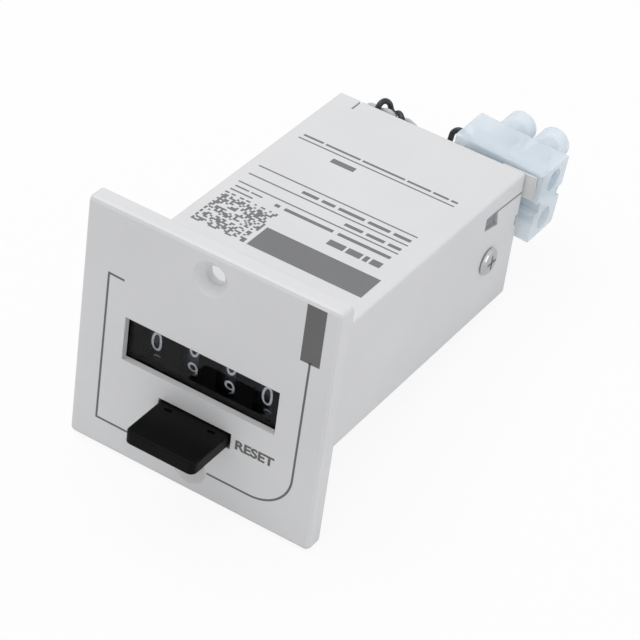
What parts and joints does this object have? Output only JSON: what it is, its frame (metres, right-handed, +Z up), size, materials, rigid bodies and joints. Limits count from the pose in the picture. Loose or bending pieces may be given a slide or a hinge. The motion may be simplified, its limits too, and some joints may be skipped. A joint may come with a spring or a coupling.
{
  "type": "panel counter",
  "caption": "Square-fronted panel counter with a digit window, number wheels, push-in reset key, pulse magnet, long rectangular housing and a translucent terminal strip at its rear",
  "frame": {"origin": "centre of the panel cut-out, in the plane where the front plate's rear face meets the panel", "axes": "+Y is depth, from the panel towards the rear; +X is to the right seen from the front; +Z is up"},
  "size_m": [0.045, 0.0901, 0.045],
  "materials": {
    "white_plastic": "fine satin, moulded",
    "clear_pane": "clear, polished",
    "black_plastic": "satin",
    "wheel_plastic": "matte",
    "pinion_plastic": "natural",
    "frame_plastic": "matte",
    "strip_plastic": "translucent, smooth",
    "coil_tape": "wrapped tape",
    "steel": "plated",
    "soft_iron": "matte plated",
    "brass": "drawn",
    "black_insulation": "satin",
    "grey_insulation": "satin"
  },
  "bodies": {
    "body": {"housing": "white_plastic", "rear_cover": "white_plastic", "window_pane": "clear_pane", "digit_mask": "black_plastic", "wheel_shaft": "steel", "pinion_shaft": "steel", "reset_spring": "steel", "chassis": "frame_plastic", "coil_bobbin": "frame_plastic", "coil_winding": "coil_tape", "magnet_core": "soft_iron", "magnet_yoke": "soft_iron", "core_screw": "steel", "armature_pin": "steel", "armature_spring": "steel", "side_screw_right": "steel", "side_screw_left": "steel", "terminal_strip": "strip_plastic", "terminal_sleeve_upper": "brass", "terminal_sleeve_lower": "brass", "terminal_screw_1": "steel", "terminal_screw_2": "steel", "terminal_screw_3": "steel", "terminal_screw_4": "steel", "strip_screw": "steel", "lead_black": "black_insulation", "lead_grey": "grey_insulation"},
    "units_wheel": {"number_wheel_units": "wheel_plastic"},
    "tens_wheel": {"number_wheel_tens": "wheel_plastic"},
    "hundreds_wheel": {"number_wheel_hundreds": "wheel_plastic"},
    "thousands_wheel": {"number_wheel_thousands": "wheel_plastic"},
    "pinion_1": {"transfer_pinion_1": "pinion_plastic"},
    "pinion_2": {"transfer_pinion_2": "pinion_plastic"},
    "pinion_3": {"transfer_pinion_3": "pinion_plastic"},
    "key": {"reset_key": "black_plastic", "reset_comb": "steel"},
    "anchor": {"armature": "soft_iron"}
  },
  "joints": [
    {"name": "units_turn", "type": "hinge", "parent": "body", "child": "units_wheel", "pos_m": [0.01013, 0.00785, -0.0007], "axis": [1, 0, 0], "continuous": true},
    {"name": "tens_turn", "type": "hinge", "parent": "body", "child": "tens_wheel", "pos_m": [0.00337, 0.00785, -0.0007], "axis": [1, 0, 0], "continuous": true},
    {"name": "hundreds_turn", "type": "hinge", "parent": "body", "child": "hundreds_wheel", "pos_m": [-0.00337, 0.00785, -0.0007], "axis": [1, 0, 0], "continuous": true},
    {"name": "thousands_turn", "type": "hinge", "parent": "body", "child": "thousands_wheel", "pos_m": [-0.01013, 0.00785, -0.0007], "axis": [1, 0, 0], "continuous": true},
    {"name": "pinion_1_turn", "type": "hinge", "parent": "body", "child": "pinion_1", "pos_m": [0.00675, 0.01485, 0.0042], "axis": [1, 0, 0], "continuous": true},
    {"name": "pinion_2_turn", "type": "hinge", "parent": "body", "child": "pinion_2", "pos_m": [0, 0.01485, 0.0042], "axis": [1, 0, 0], "continuous": true},
    {"name": "pinion_3_turn", "type": "hinge", "parent": "body", "child": "pinion_3", "pos_m": [-0.00675, 0.01485, 0.0042], "axis": [1, 0, 0], "continuous": true},
    {"name": "key_push", "type": "slide", "parent": "body", "child": "key", "axis": [0, 1, 0], "range_m": [0, 0.003], "stiffness_N_per_m": 600, "springref_m": -0.003, "deforming": ["reset_spring"]},
    {"name": "anchor_swing", "type": "hinge", "parent": "body", "child": "anchor", "pos_m": [0, 0.0283, 0.00915], "axis": [1, 0, 0], "range_deg": [0, 5], "stiffness_Nm_per_rad": 0.02, "springref_deg": -14.32, "deforming": ["armature_spring"]}
  ],
  "couplings": [
    {"joint": "tens_turn", "follows": "units_turn", "ratio": 0.1},
    {"joint": "hundreds_turn", "follows": "units_turn", "ratio": 0.01},
    {"joint": "thousands_turn", "follows": "units_turn", "ratio": 0.001},
    {"joint": "pinion_1_turn", "follows": "units_turn", "ratio": -0.25},
    {"joint": "pinion_2_turn", "follows": "units_turn", "ratio": -0.025},
    {"joint": "pinion_3_turn", "follows": "units_turn", "ratio": -0.0025}
  ]
}
